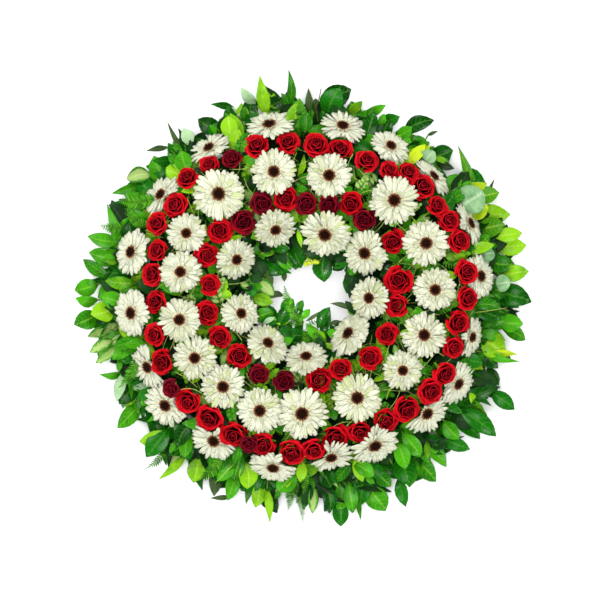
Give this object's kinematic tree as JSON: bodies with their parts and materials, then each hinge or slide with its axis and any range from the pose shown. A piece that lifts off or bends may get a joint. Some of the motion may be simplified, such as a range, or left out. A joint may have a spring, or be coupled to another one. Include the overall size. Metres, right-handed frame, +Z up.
{
  "type": "memorial wreath",
  "caption": "Round memorial wreath of ivory gerbera daisies and red roses in rings on a foam base, with leaves round its outer edge and its open centre.",
  "frame": {"origin": "on the surface that the wreath lies on, under the middle of its outline", "axes": "+Z up out of the flowers, +Y to the top of the wreath as it is displayed, +X to its right"},
  "size_m": [0.8521, 0.8524, 0.1203],
  "materials": {
    "ivory_petals": "matte",
    "red_petals": "matte",
    "leaves": "satin",
    "floral_foam": "matte",
    "tray": "satin"
  },
  "bodies": {
    "root": {"backing_tray": "tray", "foam_block_1": "floral_foam", "foam_block_2": "floral_foam", "foam_block_3": "floral_foam", "roses_inner_1": "red_petals", "roses_inner_2": "red_petals", "roses_inner_3": "red_petals", "roses_outer_1": "red_petals", "roses_outer_2": "red_petals", "roses_outer_3": "red_petals", "gerbera_inner_1": "ivory_petals", "gerbera_inner_2": "ivory_petals", "gerbera_inner_3": "ivory_petals", "gerbera_inner_4": "ivory_petals", "gerbera_inner_5": "ivory_petals", "gerbera_inner_6": "ivory_petals", "gerbera_inner_7": "ivory_petals", "gerbera_inner_8": "ivory_petals", "gerbera_inner_9": "ivory_petals", "gerbera_middle_1": "ivory_petals", "gerbera_middle_2": "ivory_petals", "gerbera_middle_3": "ivory_petals", "gerbera_middle_4": "ivory_petals", "gerbera_middle_5": "ivory_petals", "gerbera_middle_6": "ivory_petals", "gerbera_middle_7": "ivory_petals", "gerbera_middle_8": "ivory_petals", "gerbera_middle_9": "ivory_petals", "gerbera_middle_10": "ivory_petals", "gerbera_middle_11": "ivory_petals", "gerbera_middle_12": "ivory_petals", "gerbera_middle_13": "ivory_petals", "gerbera_middle_14": "ivory_petals", "gerbera_middle_15": "ivory_petals", "gerbera_middle_16": "ivory_petals", "gerbera_outer_1": "ivory_petals", "gerbera_outer_2": "ivory_petals", "gerbera_outer_3": "ivory_petals", "gerbera_outer_4": "ivory_petals", "gerbera_outer_5": "ivory_petals", "gerbera_outer_6": "ivory_petals", "gerbera_outer_7": "ivory_petals", "gerbera_outer_8": "ivory_petals", "gerbera_outer_9": "ivory_petals", "gerbera_outer_10": "ivory_petals", "gerbera_outer_11": "ivory_petals", "gerbera_outer_12": "ivory_petals", "gerbera_outer_13": "ivory_petals", "gerbera_outer_14": "ivory_petals", "gerbera_outer_15": "ivory_petals", "gerbera_outer_16": "ivory_petals", "gerbera_outer_17": "ivory_petals", "gerbera_outer_18": "ivory_petals", "gerbera_outer_19": "ivory_petals", "foliage_outer_1": "leaves", "foliage_outer_2": "leaves", "foliage_outer_3": "leaves", "foliage_inner_1": "leaves", "foliage_inner_2": "leaves", "foliage_inner_3": "leaves"}
  },
  "joints": []
}
